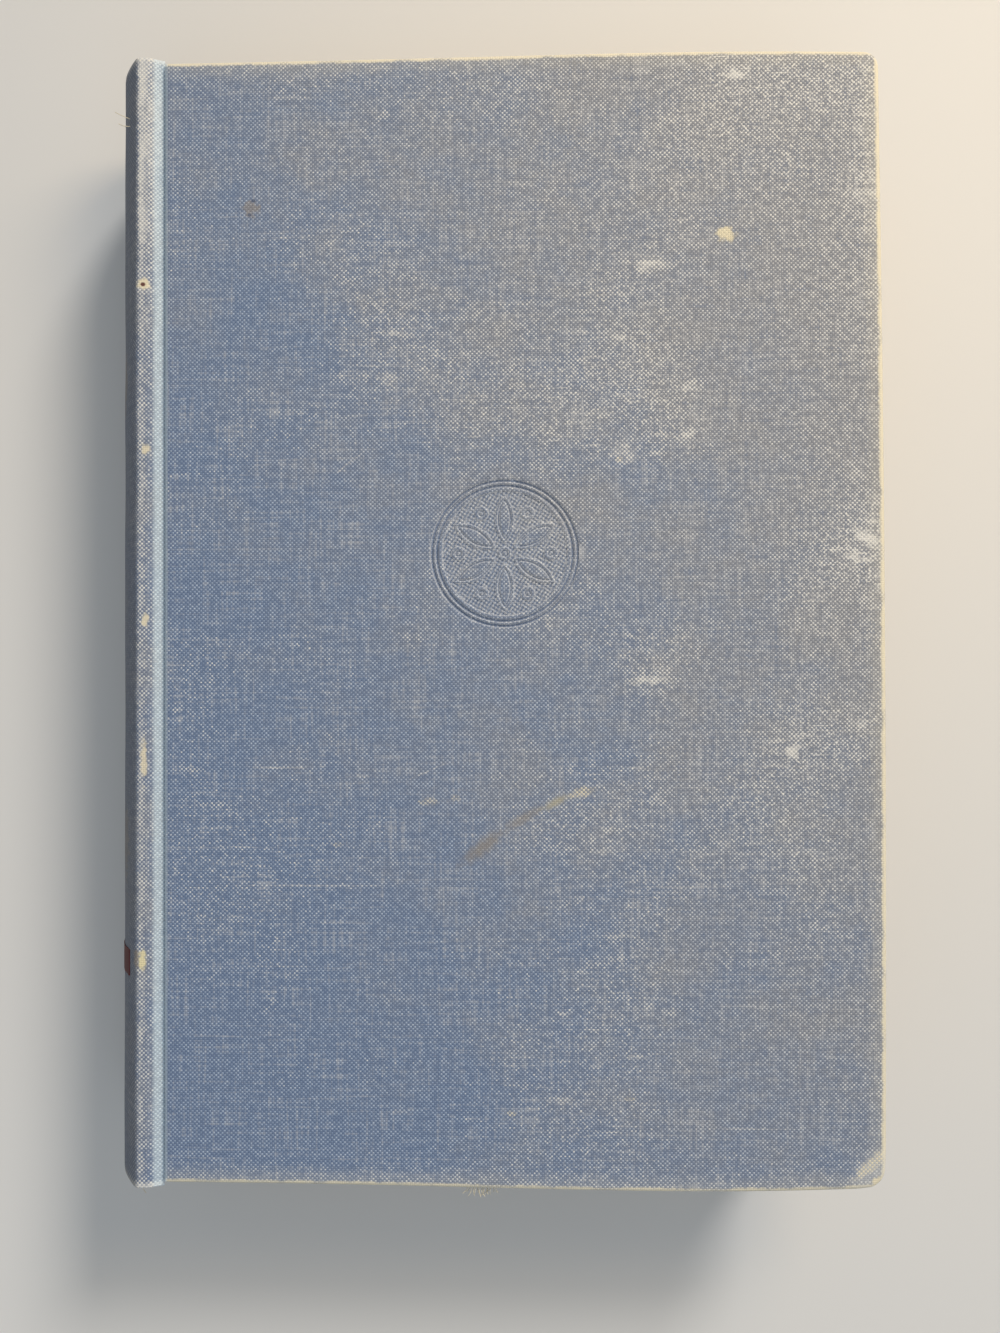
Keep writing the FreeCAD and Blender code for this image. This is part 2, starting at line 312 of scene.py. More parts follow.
def mull():
    material, tree, shader, place = new_material("mull")
    holes = vector(tree, "SINE", vector(tree, "SCALE", place, scale=math.tau / gauze_mesh))
    parts = tree.nodes.new("ShaderNodeSeparateXYZ")
    tree.links.new(holes, parts.inputs[0])
    threads = calc(tree, "MAXIMUM", parts.outputs["Y"], parts.outputs["Z"])
    tree.links.new(shade(tree, spread(tree, threads, 0.2, 0.7), gauze_glue, gauze_cotton),
                   shader.inputs["Base Color"])
    shader.inputs["Roughness"].default_value = 0.8
    bump(tree, shader, threads, 0.4, 0.0001)
    return material


def finish_node(name, material):
    """Puts a material on a CAD piece that keeps its own shape."""
    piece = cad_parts[name]
    piece.data.materials.clear()
    piece.data.materials.append(material)


finish_node("spine_gauze", mull())

# The lining: a strip of brown kraft paper glued over the gauze, as long as the round back and
# as wide. It stops the back from cracking when the book is opened.
kraft_brown = (0.34, 0.22, 0.12)
kraft_dark = (0.24, 0.15, 0.08)


def pulp(name, light, dark, stretch, grain=1.2):
    """Plain paper or board: matt, with the long clouds of its fibres."""
    material, tree, shader, place = new_material(name)
    fibres = clouds(tree, place, grain, 5.0, stretch, 0.7)
    tree.links.new(shade(tree, spread(tree, fibres, 0.3, 0.7), dark, light), shader.inputs["Base Color"])
    shader.inputs["Roughness"].default_value = 0.92
    shader.inputs["Specular IOR Level"].default_value = 0.2
    bump(tree, shader, fibres, 0.25, 0.0001)
    return material


finish_node("spine_lining", pulp("kraft lining", kraft_brown, kraft_dark, (1.0, 0.3, 1.0)))

# The head and tail bands: a cotton bead woven round a cord, glued along the back of the pages so
# that it stands up over their head and tail. The thread wraps show as fine stripes.
band_cream = (0.60, 0.53, 0.38)
band_blue = (0.17, 0.24, 0.36)
band_wrap = 0.55


def woven_band():
    material, tree, shader, place = new_material("woven band")
    centred = vector(tree, "SUBTRACT", place, (back_centre * 1000, 0.0, middle * 1000))
    parts = tree.nodes.new("ShaderNodeSeparateXYZ")
    tree.links.new(centred, parts.inputs[0])
    turn = calc(tree, "ARCTAN2", parts.outputs["Z"], calc(tree, "MULTIPLY", parts.outputs["X"], -1.0))
    along = calc(tree, "MULTIPLY", turn, back_radius * 1000)
    wraps = calc(tree, "ABSOLUTE", calc(tree, "SINE", calc(tree, "MULTIPLY", along, math.pi / band_wrap)))
    stripes = calc(tree, "SINE", calc(tree, "MULTIPLY", along, math.pi / band_wrap / 4))
    colour = shade(tree, spread(tree, stripes, -0.1, 0.1), band_blue, band_cream)
    tree.links.new(shade(tree, spread(tree, wraps, 0.0, 0.6, 0.6, 0.0), colour, page_dust),
                   shader.inputs["Base Color"])
    shader.inputs["Roughness"].default_value = 0.8
    bump(tree, shader, wraps, 0.8, 0.0002)
    return material


band_material = woven_band()
finish_node("head_band", band_material)
finish_node("tail_band", band_material)

# The endpapers: at each end one folded sheet of cream wove paper. One half, the pastedown, is
# pasted inside the cover over the turn-ins, which show through it as a low step; the other half,
# the flyleaf, is free. The fold lies in the joint and swings open with the cover.
hinge_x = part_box("front_pastedown")[0].x
paper_low, paper_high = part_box("front_pastedown")
leaf_low, leaf_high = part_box("front_flyleaf")
cover_low, cover_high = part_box("front_cloth")
paper_touch = leaf_high.z
paper_gap = 0.00002
paper_thick = 0.00012
fold_steps = 24
turn_in = 0.015
turn_in_step = 0.00026
leaf_cockle = 0.00008
endpaper_cream = (0.66, 0.57, 0.41)
endpaper_toned = (0.46, 0.34, 0.20)


def step_over_turn_ins(x, y):
    """How far the pastedown sinks between the turn-ins at this place, from 0 to 1."""
    from_edge = min(cover_high.x - x, cover_high.y - abs(y)) - turn_in
    return min(1.0, max(0.0, from_edge / 0.0018)) ** 2


def model_endpapers():
    flyleaf_z = paper_touch - paper_gap
    sheet = flat_grid("front_endpapers", 36, 100, (hinge_x, leaf_low.y), (leaf_high.x, leaf_high.y),
                      flyleaf_z)
    choose(sheet, lambda edge: edge.is_boundary and all(v.co.x < hinge_x + 1e-6 for v in edge.verts),
           "EDGE")
    for step in range(fold_steps):
        extrude(z=2 * paper_gap / fold_steps)
    columns = 68
    for step in range(columns):
        extrude(x=(paper_high.x - hinge_x) / columns)
    mesh = bmesh.from_edit_mesh(sheet.data)
    for vert in mesh.verts:
        x, y, z = vert.co
        if z > paper_touch + paper_gap * 0.99:
            vert.co.z += turn_in_step * step_over_turn_ins(x, y)
            vert.co.y *= paper_high.y / leaf_high.y
        elif z < paper_touch - paper_gap * 0.99 and x > hinge_x + 0.002:
            vert.co.z -= leaf_cockle * abs(noise.noise(Vector((x * 40, y * 25, 1.0))))
    bmesh.update_edit_mesh(sheet.data)
    bpy.ops.object.mode_set(mode="OBJECT")
    solid = sheet.modifiers.new("paper", "SOLIDIFY")
    solid.thickness = paper_thick
    solid.offset = -1
    apply_modifiers(sheet)
    bpy.ops.object.mode_set(mode="EDIT")
    done()
    return sheet


def mirrored_copy(piece, name):
    """The same piece for the back of the book, with its own mesh, its faces still outwards."""
    deselect()
    piece.select_set(True)
    bpy.context.view_layer.objects.active = piece
    bpy.ops.object.duplicate()
    copy = bpy.context.object
    copy.name = name
    bpy.ops.object.mode_set(mode="EDIT")
    bpy.ops.mesh.select_all(action="SELECT")
    bpy.ops.transform.resize(value=(1, 1, -1), center_override=(0, 0, middle))
    bpy.ops.mesh.flip_normals()
    bpy.ops.object.mode_set(mode="OBJECT")
    return copy


def endpaper():
    """Wove paper, toned brown towards its edges and freckled where damp has reached it."""
    material, tree, shader, place = new_material("endpaper", bends=True)
    parts = tree.nodes.new("ShaderNodeSeparateXYZ")
    tree.links.new(place, parts.inputs[0])
    from_head = calc(tree, "SUBTRACT", leaf_high.y * 1000, calc(tree, "ABSOLUTE", parts.outputs["Y"]))
    from_fore = calc(tree, "SUBTRACT", leaf_high.x * 1000, parts.outputs["X"])
    from_edge = calc(tree, "MINIMUM", from_head, from_fore)
    from_edge = calc(tree, "MINIMUM", from_edge, calc(tree, "ADD", parts.outputs["X"], -hinge_x * 1000))
    drift = clouds(tree, place, 0.06, 3.0)
    toned = spread(tree, calc(tree, "ADD", from_edge, calc(tree, "MULTIPLY", drift, -14.0)), -8.0, 10.0,
                   0.75, 0.0)
    freckles = clouds(tree, place, 0.5, 3.0)
    fibres = clouds(tree, place, 2.5, 4.0, (1.0, 0.4, 1.0))
    colour = shade(tree, toned, endpaper_cream, endpaper_toned)
    colour = shade(tree, spread(tree, freckles, 0.7, 0.82, 0.0, 0.4), colour, endpaper_toned)
    colour = shade(tree, spread(tree, fibres, 0.35, 0.65, 0.0, 0.12), colour, endpaper_toned)
    tree.links.new(colour, shader.inputs["Base Color"])
    shader.inputs["Roughness"].default_value = 0.88
    shader.inputs["Specular IOR Level"].default_value = 0.25
    bump(tree, shader, fibres, 0.15, 0.0001)
    return material


front_endpapers = model_endpapers()
front_endpapers.data.materials.append(endpaper())
back_endpapers = mirrored_copy(front_endpapers, "back_endpapers")
for sheet, end in ((front_endpapers, "front"), (back_endpapers, "back")):
    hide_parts(end + "_pastedown", end + "_flyleaf")
    keep_rest_place(sheet)
    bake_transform(sheet)

# The boards: two plates of grey-brown millboard, cut square and covered all round, so that they
# only give the covers their thickness and stiffness.
board_light = (0.30, 0.26, 0.20)
board_dark = (0.19, 0.16, 0.12)

millboard = pulp("millboard", board_light, board_dark, (1.0, 1.0, 3.0), 2.0)
finish_node("front_board", millboard)
finish_node("back_board", millboard)

# The inlay: a strip of thin grey card, glued to the cloth between the two joints, that keeps the
# hollow back round.
card_light = (0.40, 0.36, 0.28)
card_dark = (0.29, 0.25, 0.19)

finish_node("spine_inlay", pulp("inlay card", card_light, card_dark, (1.0, 0.5, 1.0)))

# The front cover's cloth: plain-weave cotton book cloth, dyed blue and filled with starch, pasted
# over the board and turned in at the head, tail and fore edge. At the left it is pressed down the
# board's edge into the joint groove. A heated brass die has stamped a rosette into it, without foil.
board_front_low, board_front_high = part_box("front_board")
cloth_thick = cover_high.z - board_front_high.z
joint_x = board_front_low.x - cloth_thick
cover_width = cover_high.x - joint_x
foot_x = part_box("spine_cloth")[1].x
foot_z = paper_low.z + 0.00005
floor_z = cover_low.z + cloth_thick
tucked_x = foot_x - (floor_z - foot_z) / shoulder_slope - 0.0002
corner_round = 0.003
edge_round = 0.0009
under_round = 0.0004
edge_crowding = 0.8
joint_steps = 12
head_swell = 0.0006
tail_swell = 0.0010
fore_swell = 0.0006
crushed_reach = 0.006
crushed_depth = 0.0004
rosette_x = joint_x + 0.0647
rosette_y = cover_high.y - 0.0943
rosette_radius = 0.0139
rosette_cuts = 10


def crowded(share):
    """Moves the lines of a grid towards both its edges; share runs from 0 to 1."""
    return (1 - edge_crowding) * share + edge_crowding * (1 - math.cos(math.pi * share)) / 2


def model_cover_cloth(name, stamped):
    sheet = flat_grid(name, 90, 142, (joint_x, -cover_high.y), (cover_high.x, cover_high.y), cover_high.z)
    mesh = bmesh.from_edit_mesh(sheet.data)
    for vert in mesh.verts:
        vert.co.x = joint_x + cover_width * crowded((vert.co.x - joint_x) / cover_width)
        vert.co.y = cover_high.y * (2 * crowded(vert.co.y / cover_high.y / 2 + 0.5) - 1)
    bmesh.update_edit_mesh(sheet.data)
    if stamped:
        choose(sheet, lambda face: distance_to_rosette(face.calc_center_median()) < rosette_radius + 0.001)
        bpy.ops.mesh.subdivide(number_cuts=rosette_cuts)
    mesh = bmesh.from_edit_mesh(sheet.data)
    pressed = mesh.verts.layers.float.new("pressed")
    for vert in mesh.verts:
        round_corner(vert.co)
        round_edge(vert.co)
        if stamped:
            depth = rosette_relief(vert.co.x - rosette_x, vert.co.y - rosette_y)
            vert.co.z += depth
            vert[pressed] = -depth / line_depth
    bmesh.update_edit_mesh(sheet.data)
    turn_cloth_over_board(sheet)
    mesh = bmesh.from_edit_mesh(sheet.data)
    for vert in mesh.verts:
        swell_outline(vert.co)
    bmesh.update_edit_mesh(sheet.data)
    bpy.ops.object.mode_set(mode="OBJECT")
    solid = sheet.modifiers.new("cloth", "SOLIDIFY")
    solid.thickness = cloth_thick * 0.9
    solid.offset = -1
    apply_modifiers(sheet)
    bpy.ops.object.mode_set(mode="EDIT")
    done(40)
    lay_weave(sheet)
    return sheet


def round_corner(spot):
    """Draws the two square corners at the fore edge in to a quarter circle."""
    x = spot.x - (cover_high.x - corner_round)
    y = abs(spot.y) - (cover_high.y - corner_round)
    if x > 0 and y > 0:
        drawn = max(x, y) / math.hypot(x, y)
        spot.x += x * (drawn - 1)
        spot.y -= math.copysign(y * (1 - drawn), spot.y)


def distance_inside(x, y):
    """How far a place on the cover lies inside its outline."""
    past_x = x - (cover_high.x - corner_round)
    past_y = abs(y) - (cover_high.y - corner_round)
    if past_x > 0 and past_y > 0:
        inside = corner_round - math.hypot(past_x, past_y)
    else:
        inside = min(cover_high.x - x, cover_high.y - abs(y))
    return min(inside, x - joint_x)


def round_edge(spot):
    inside = distance_inside(spot.x, spot.y)
    if inside < edge_round:
        gone = edge_round - max(inside, 0.0)
        spot.z -= edge_round - math.sqrt(max(edge_round ** 2 - gone ** 2, 0.0))


def swell_outline(spot):
    """The covers are cut and worn a little convex, and the corner at the tail is crushed."""
    across = min(1.0, max(0.0, (spot.x - joint_x) / cover_width))
    up = spot.y / cover_high.y
    swell = head_swell if up > 0 else tail_swell
    spot.y += math.copysign(swell * up ** 2 * math.sin(math.pi * across ** 2), up)
    spot.x += fore_swell * across ** 3 * math.cos(math.pi / 2 * min(1.0, abs(up)))
    reach = math.hypot(spot.x - cover_high.x, spot.y + cover_high.y)
    if reach < crushed_reach:
        near = 1 - reach / crushed_reach
        spot.z -= crushed_depth * near * (spot.z - cover_low.z) / (cover_high.z - cover_low.z)
        spot.x -= crushed_depth * near ** 2
        spot.y += crushed_depth * near ** 2


def turn_cloth_over_board(sheet):
    """Takes the cloth down the board's edges, under it on three sides and into the joint on one."""
    lower = cover_low.z + under_round
    choose(sheet, lambda edge: edge.is_boundary, "EDGE")
    extrude(z=lower - (cover_high.z - edge_round))
    mesh = bmesh.from_edit_mesh(sheet.data)
    for vert in mesh.verts:
        if vert.select and vert.co.x < joint_x + 1e-6:
            vert.co.z = floor_z
    bmesh.update_edit_mesh(sheet.data)

    def turned(edge):
        return edge.is_boundary and not all(v.co.x < joint_x + 1e-6 for v in edge.verts)

    half = cover_high.y
    for inwards, down in ((0.3 * under_round, 0.7 * under_round), (under_round, 0.3 * under_round),
                          (turn_in, 0.0)):
        choose(sheet, turned, "EDGE")
        extrude(z=-down)
        bpy.ops.transform.resize(value=(1 - inwards / cover_width, 1 - inwards / half, 1),
                                 center_override=(joint_x, 0, lower))
    choose(sheet, lambda edge: edge.is_boundary
           and all(abs(v.co.x - joint_x) < 1e-6 and abs(v.co.z - floor_z) < 1e-6 for v in edge.verts), "EDGE")
    for step in range(joint_steps):
        extrude(x=(tucked_x - joint_x) / joint_steps)


def distance_to_rosette(spot):
    return math.hypot(spot.x - rosette_x, spot.y - rosette_y)


ring_lines = (0.01370, 0.01275)
ring_half_width = 0.00026
line_depth = 0.00034
ground_radius = 0.0117
press_depth = 0.00018
petal_start = 0.0019
petal_tip = 0.01095
petal_half_width = 0.0019
petal_count = 6
petal_round = (((petal_tip - petal_start) / 2) ** 2 + petal_half_width ** 2) / (2 * petal_half_width)
hub_radius = 0.0013
bead_ring = 0.0087
bead_radius = 0.0012
stipple_pitch = 0.0010


def eased(value, low, high):
    share = min(1.0, max(0.0, (value - low) / (high - low)))
    return share * share * (3 - 2 * share)


def line_pressed(distance, half_width):
    return -line_depth * (1 - eased(abs(distance), half_width * 0.3, half_width * 1.5))


def rosette_relief(x, y):
    """Depth of the stamping: two ring lines round a stippled ground with six raised petals."""
    radius = math.hypot(x, y)
    if radius > rosette_radius + 0.0006:
        return 0.0
    depth = sum(line_pressed(radius - line, ring_half_width) for line in ring_lines)
    if radius > ground_radius + 0.0003:
        return depth
    sector = math.tau / petal_count
    turn = math.atan2(y, x) - math.pi / 2
    turn -= sector * round(turn / sector)
    along = radius * math.cos(turn)
    beside = abs(radius * math.sin(turn))
    middle_along = (petal_start + petal_tip) / 2
    bulge = petal_round ** 2 - (along - middle_along) ** 2
    inside = (math.sqrt(max(bulge, 0.0)) - (petal_round - petal_half_width)) - beside
    inside = max(inside, hub_radius - radius)
    bead_x = radius * math.cos(abs(turn) - sector / 2) - bead_ring
    bead_y = radius * math.sin(abs(turn) - sector / 2)
    from_bead = math.hypot(bead_x, bead_y)
    raised = max(eased(inside, -0.00005, 0.0002), 1 - eased(from_bead, bead_radius, bead_radius + 0.00025))
    raised = max(raised, eased(radius, ground_radius - 0.0001, ground_radius + 0.0002))
    grain = math.sin(math.tau * (x + 0.3 * y) / stipple_pitch)
    grain *= math.sin(math.tau * (y - 0.3 * x) / stipple_pitch)
    depth -= (1 - raised) * (press_depth - 0.00015 * grain)
    depth += line_pressed(inside - 0.00075, 0.00020) * 0.7
    depth += line_pressed(from_bead - 0.00045, 0.00020) * 0.7
    return depth


def lay_weave(piece, unrolled=None):
    """UVs in millimetres along the threads: seen flat from each face's own side, or unrolled."""
    layer = piece.data.uv_layers.new(name="cloth")
    for face in piece.data.polygons:
        normal = [abs(part) for part in face.normal]
        side = normal.index(max(normal))
        for loop in face.loop_indices:
            spot = piece.data.vertices[piece.data.loops[loop].vertex_index].co
            if unrolled:
                place = unrolled(spot)
            else:
                place = ((spot.z, spot.y), (spot.x, spot.z), (spot.x, spot.y))[side]
            layer.data[loop].uv = (place[0] * 1000, place[1] * 1000)


thread_across = 0.413
thread_along = 0.40
dye_deep = (0.118, 0.172, 0.290)
dye_faded = (0.215, 0.226, 0.255)
between_threads = (0.078, 0.104, 0.172)
crown_blue = (0.38, 0.47, 0.61)
crown_faded = (0.59, 0.60, 0.61)
worn_cotton = (0.75, 0.745, 0.71)
worn_cream = (0.80, 0.72, 0.52)
spot_cream = (0.74, 0.67, 0.46)
spot_yellow = (0.78, 0.70, 0.42)
edge_cream = (0.72, 0.66, 0.50)
soil_brown = (0.28, 0.225, 0.155)
stain_brown = (0.27, 0.235, 0.19)
stain_yellow = (0.46, 0.42, 0.28)
# Painted light, with some rub: the pale colour of the groove's slope and of the board's edge at the joint.
groove_rub_and_painted_light = (0.64, 0.76, 0.83)


def book_cloth(name, fade_and_light_slope=0.0):
    """The weave and its dye; a second number above 0 pales it to head and fore edge, as fading and painted light."""
    material, tree, shader, place = new_material(name, bends=True)
    unrolled = tree.nodes.new("ShaderNodeUVMap")
    unrolled.uv_map = "cloth"
    parts = tree.nodes.new("ShaderNodeSeparateXYZ")
    tree.links.new(unrolled.outputs[0], parts.inputs[0])
    wander = calc(tree, "MULTIPLY", clouds(tree, place, 0.2, 3.0), 2.4)
    across = calc(tree, "MULTIPLY_ADD", parts.outputs["X"], math.pi / thread_across, wander)
    along = calc(tree, "MULTIPLY_ADD", parts.outputs["Y"], math.pi / thread_along, wander)
    weave = calc(tree, "MULTIPLY", calc(tree, "SINE", across), calc(tree, "SINE", along))
    crown = spread(tree, weave, -0.55, 0.95)
    uneven = clouds(tree, unrolled.outputs[0], 0.75, 3.0, (1.0, 1.0, 0.0), 0.78)
    uneven = spread(tree, uneven, 0.36, 0.66, 0.32, 1.12)
    crown = calc(tree, "MULTIPLY", crown, uneven)
    gap = spread(tree, calc(tree, "ABSOLUTE", weave), 0.0, 0.3, 0.30, 0.0)
    warp_yarn = clouds(tree, unrolled.outputs[0], 1.0, 2.0, (1.7, 0.09, 0.0))
    weft_yarn = clouds(tree, unrolled.outputs[0], 1.0, 2.0, (0.09, 1.7, 0.0))
    yarn = calc(tree, "ADD", warp_yarn, weft_yarn)
    spot = tree.nodes.new("ShaderNodeSeparateXYZ")
    tree.links.new(place, spot.inputs[0])
    # Paler and greyer towards the head and fore edge: partly sun fading, partly painted light, as from the warm lamp
    # beyond that corner.
    fade_and_light_gradient = calc(tree, "MULTIPLY_ADD", spot.outputs["Y"], 0.42, spot.outputs["X"])
    fade_and_light_gradient = calc(tree, "MULTIPLY", fade_and_light_gradient, fade_and_light_slope)
    fade_and_painted_light = calc(tree, "MULTIPLY_ADD", clouds(tree, place, 0.05, 7.0, (1.0, 1.2, 1.0), 0.72), 0.6, fade_and_light_gradient)
    fade_and_painted_light = spread(tree, fade_and_painted_light, 0.10, 0.56)
    deep = shade(tree, fade_and_painted_light, dye_deep, dye_faded)
    crowns = shade(tree, fade_and_painted_light, crown_blue, crown_faded)
    colour = shade(tree, crown, deep, crowns)
    colour = shade(tree, spread(tree, yarn, 1.0, 1.4, 0.0, 0.38), colour, crown_faded)
    colour = shade(tree, spread(tree, yarn, 0.6, 0.95, 0.34, 0.0), colour, dye_deep)
    colour = shade(tree, gap, colour, between_threads)
    shader.inputs["Roughness"].default_value = 0.82
    shader.inputs["Specular IOR Level"].default_value = 0.3
    shader.inputs["Sheen Weight"].default_value = 0.08
    shader.inputs["Sheen Roughness"].default_value = 0.5
    bump(tree, shader, calc(tree, "ABSOLUTE", weave), 0.5, 0.0001)
    return {"material": material, "tree": tree, "shader": shader, "place": place, "colour": colour,
            "crown": crown, "unrolled": unrolled.outputs[0], "x": spot.outputs["X"], "fade_and_light_gradient": fade_and_light_gradient}


def wear_down(cloth, wear, bare=worn_cotton):
    """Rubs the dye off: first from the crowns of the threads, at full wear from all of them."""
    tree = cloth["tree"]
    reached = calc(tree, "MULTIPLY_ADD", wear, 1.6, calc(tree, "SUBTRACT", cloth["crown"], 1.0))
    cloth["colour"] = shade(tree, spread(tree, reached, -0.1, 1.0), cloth["colour"], bare)


def mark(cloth, x, y, half_width, half_height, turn, colour, strength, ragged=0.35, on_crowns=False,
         core=0.45):
    """One spot, streak or stain in the XY plane, in millimetres from the row's origin."""
    tree = cloth["tree"]
    local = tree.nodes.new("ShaderNodeMapping")
    local.vector_type = "TEXTURE"
    tree.links.new(cloth["place"], local.inputs["Vector"])
    local.inputs["Location"].default_value = (x, y, 0.0)
    local.inputs["Rotation"].default_value = (0.0, 0.0, math.radians(turn))
    local.inputs["Scale"].default_value = (half_width, half_height, 1e6)
    away = vector(tree, "LENGTH", local.outputs[0])
    frayed = calc(tree, "SUBTRACT", away, ragged * 1.5)
    frayed = calc(tree, "MULTIPLY_ADD", cloth["grain"], ragged * 3, frayed)
    amount = spread(tree, frayed, core, 1.1, strength, 0.0)
    if on_crowns:
        amount = calc(tree, "MULTIPLY", amount, spread(tree, cloth["crown"], 0.15, 0.6, 0.15, 1.0))
    cloth["colour"] = shade(tree, amount, cloth["colour"], colour)


def scuffing(cloth):
    """Rubbed patches a few millimetres wide, single bared crowns and short runs along a thread."""
    tree, place = cloth["tree"], cloth["place"]
    regions = spread(tree, clouds(tree, place, 0.028, 3.0, (1.0, 1.3, 1.0)), 0.40, 0.62, 0.15, 1.0)
    patches = spread(tree, clouds(tree, place, 0.17, 5.0, (0.75, 1.3, 1.0), 0.6), 0.53, 0.74)
    single = spread(tree, clouds(tree, cloth["unrolled"], 1.9, 2.0), 0.50, 0.70, 0.0, 0.95)
    runs = spread(tree, clouds(tree, cloth["unrolled"], 1.0, 2.0, (0.12, 2.2, 0.0)), 0.60, 0.74, 0.0, 0.9)
    rubbed = calc(tree, "MULTIPLY", regions, patches)
    dots = calc(tree, "MULTIPLY", calc(tree, "MAXIMUM", single, runs), regions)
    return calc(tree, "MAXIMUM", rubbed, dots)


def outline_wear(cloth, mid_height):
    """How near a place on a cover lies to its head, tail or fore edge, where hands and shelves rub."""
    tree = cloth["tree"]
    parts = tree.nodes.new("ShaderNodeSeparateXYZ")
    tree.links.new(cloth["place"], parts.inputs[0])
    across = calc(tree, "MULTIPLY", calc(tree, "SUBTRACT", parts.outputs["X"], joint_x * 1000),
                  0.001 / cover_width)
    up = calc(tree, "MULTIPLY", parts.outputs["Y"], 0.001 / cover_high.y)
    bulge = calc(tree, "SINE", calc(tree, "MULTIPLY", calc(tree, "POWER", across, 2.0), math.pi))
    ends = calc(tree, "MULTIPLY_ADD", calc(tree, "SIGN", up), (head_swell - tail_swell) * 500,
                (head_swell + tail_swell) * 500)
    head_line = calc(tree, "MULTIPLY_ADD", bulge, ends, cover_high.y * 1000)
    fore_line = calc(tree, "SUBTRACT", 1.0, calc(tree, "POWER", up, 2.0))
    fore_line = calc(tree, "MULTIPLY_ADD", fore_line, fore_swell * 1000, cover_high.x * 1000)
    from_head = calc(tree, "SUBTRACT", head_line, calc(tree, "ABSOLUTE", parts.outputs["Y"]))
    from_fore = calc(tree, "SUBTRACT", fore_line, parts.outputs["X"])
    from_edge = calc(tree, "MINIMUM", calc(tree, "ADD", from_head, 0.1), from_fore)
    from_corner = calc(tree, "ADD", from_head, from_fore)
    wide = calc(tree, "MULTIPLY_ADD", calc(tree, "SUBTRACT", cloth["grain"], 0.5), 0.7, from_edge)
    patchy = spread(tree, clouds(tree, cloth["place"], 0.22, 3.0), 0.34, 0.58, 0.70, 1.0)
    rim = calc(tree, "MULTIPLY", spread(tree, wide, 0.5, 1.9, 1.0, 0.0), patchy)
    height = calc(tree, "ABSOLUTE", calc(tree, "SUBTRACT", parts.outputs["Z"], mid_height))
    rim = calc(tree, "MULTIPLY", rim, spread(tree, height, 0.3, 1.4, 0.45, 1.0))
    halo = spread(tree, wide, 0.8, 9.0, 0.40, 0.0)
    corner = spread(tree, calc(tree, "MULTIPLY_ADD", cloth["grain"], 3.0, from_corner), 2.5, 8.0, 0.55, 0.0)
    return calc(tree, "MAXIMUM", calc(tree, "MAXIMUM", rim, halo), corner)


def cover_wear(cloth, mid_height):
    tree, place = cloth["tree"], cloth["place"]
    cloth["grain"] = clouds(tree, place, 0.9, 4.0)
    general = spread(tree, clouds(tree, place, 0.03, 3.0), 0.35, 0.7, 0.04, 0.26)
    # The same gradient bares more crowns towards the head and fore edge: partly wear, partly painted light.
    general = calc(tree, "MULTIPLY_ADD", calc(tree, "MAXIMUM", cloth["fade_and_light_gradient"], -0.05), 1.2, general)
    scuffs = calc(tree, "MULTIPLY", scuffing(cloth), 0.55)
    edges = outline_wear(cloth, mid_height)
    wear_down(cloth, calc(tree, "MAXIMUM", calc(tree, "ADD", general, scuffs), edges))
    bare = spread(tree, edges, 0.22, 0.95, 0.0, 0.92)
    cloth["colour"] = shade(tree, bare, cloth["colour"], edge_cream)


def from_head(distance):
    return cover_high.y * 1000 - distance


def from_joint(distance):
    return joint_x * 1000 + distance


